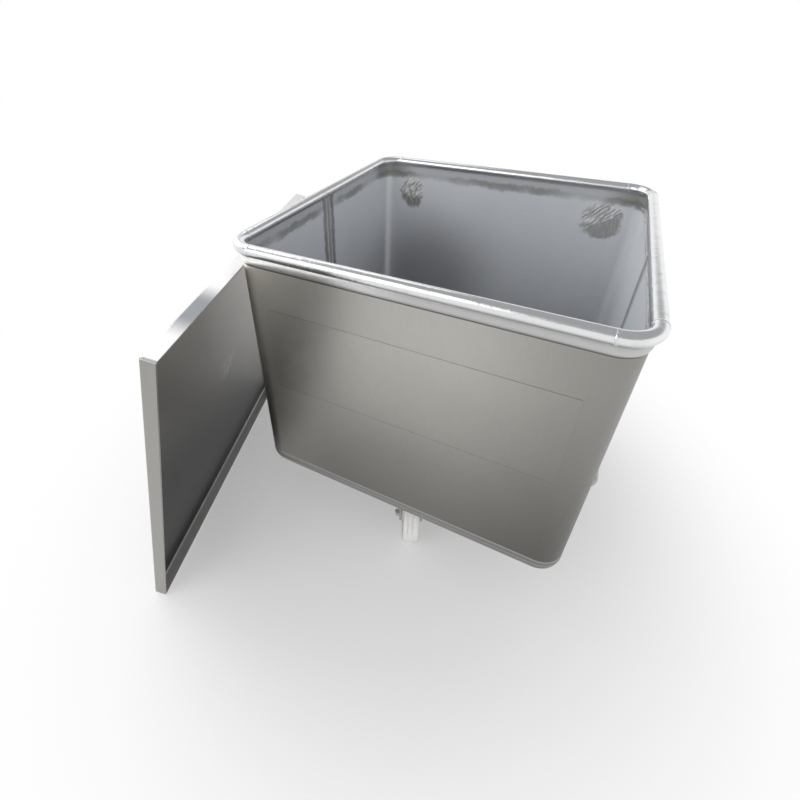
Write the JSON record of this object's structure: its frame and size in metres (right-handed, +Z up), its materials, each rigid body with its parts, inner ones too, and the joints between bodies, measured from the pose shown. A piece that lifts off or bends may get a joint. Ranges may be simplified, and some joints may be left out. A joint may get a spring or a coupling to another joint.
{
  "type": "meat trolley bin",
  "caption": "Square stainless trolley bin with rounded corners and a tube rim, on swivel and fixed nylon casters, with a loose tray lid leaning on it.",
  "frame": {"origin": "on the floor under the middle of the tub", "axes": "+Z up, -Y towards the front wall, +X to the right seen from the front; the push handle is on the +Y side"},
  "size_m": [0.9581, 1.0465, 0.7036],
  "materials": {
    "sheet_steel": "satin stainless sheet with a fine vertical grain",
    "rim_steel": "polished stainless tube with ground welds",
    "bar_steel": "polished stainless bar",
    "weld_steel": "brushed weld bead with a dull tint",
    "lid_steel": "satin stainless sheet",
    "caster_steel": "pressed stainless plate",
    "fastener_steel": "bright stainless fastener",
    "wheel_nylon": "off-white nylon with scuffed tread"
  },
  "bodies": {
    "tub": {"front_shell": "sheet_steel", "rear_shell": "sheet_steel", "bottom_pan": "sheet_steel", "rim_collar": "sheet_steel", "rim_tube": "rim_steel", "seam_welds": "weld_steel", "push_handle": "bar_steel", "handle_welds": "weld_steel", "left_lift_bar": "bar_steel", "right_lift_bar": "bar_steel", "lift_bar_welds": "weld_steel", "caster_pads": "caster_steel", "plate_bolts": "fastener_steel", "front_top_plate": "caster_steel", "front_kingpin": "fastener_steel", "front_balls": "fastener_steel", "rear_top_plate": "caster_steel", "rear_kingpin": "fastener_steel", "rear_balls": "fastener_steel", "left_bracket": "caster_steel", "right_bracket": "caster_steel", "left_bush": "fastener_steel", "left_axle_bolt": "fastener_steel", "left_axle_nut": "fastener_steel", "right_bush": "fastener_steel", "right_axle_bolt": "fastener_steel", "right_axle_nut": "fastener_steel"},
    "front_fork": {"front_fork": "caster_steel", "front_bush": "fastener_steel", "front_axle_bolt": "fastener_steel", "front_axle_nut": "fastener_steel"},
    "front_wheel": {"front_wheel": "wheel_nylon"},
    "rear_fork": {"rear_fork": "caster_steel", "rear_bush": "fastener_steel", "rear_axle_bolt": "fastener_steel", "rear_axle_nut": "fastener_steel"},
    "rear_wheel": {"rear_wheel": "wheel_nylon"},
    "left_wheel": {"left_wheel": "wheel_nylon"},
    "right_wheel": {"right_wheel": "wheel_nylon"},
    "lid": {"lid_tray": "lid_steel", "lid_grip": "bar_steel", "lid_grip_welds": "weld_steel"}
  },
  "joints": [
    {"name": "front_swivel", "type": "hinge", "parent": "tub", "child": "front_fork", "pos_m": [0, -0.21, 0.14], "axis": [0, 0, 1], "continuous": true},
    {"name": "front_wheel_spin", "type": "hinge", "parent": "front_fork", "child": "front_wheel", "pos_m": [0.01274, -0.24152, 0.0625], "axis": [0.9272, 0.3746, 0], "continuous": true},
    {"name": "rear_swivel", "type": "hinge", "parent": "tub", "child": "rear_fork", "pos_m": [0, 0.21, 0.14], "axis": [0, 0, 1], "continuous": true},
    {"name": "rear_wheel_spin", "type": "hinge", "parent": "rear_fork", "child": "rear_wheel", "pos_m": [-0.00822, 0.17701, 0.0625], "axis": [0.9703, -0.2419, 0], "continuous": true},
    {"name": "left_wheel_spin", "type": "hinge", "parent": "tub", "child": "left_wheel", "pos_m": [-0.23, 0, 0.0625], "axis": [1, 0, 0], "continuous": true},
    {"name": "right_wheel_spin", "type": "hinge", "parent": "tub", "child": "right_wheel", "pos_m": [0.23, 0, 0.0625], "axis": [1, 0, 0], "continuous": true},
    {"name": "lid_lift", "type": "slide", "parent": "tub", "child": "lid", "axis": [-0.8282, -0.2532, 0.5], "range_m": [0, 0.3]}
  ]
}
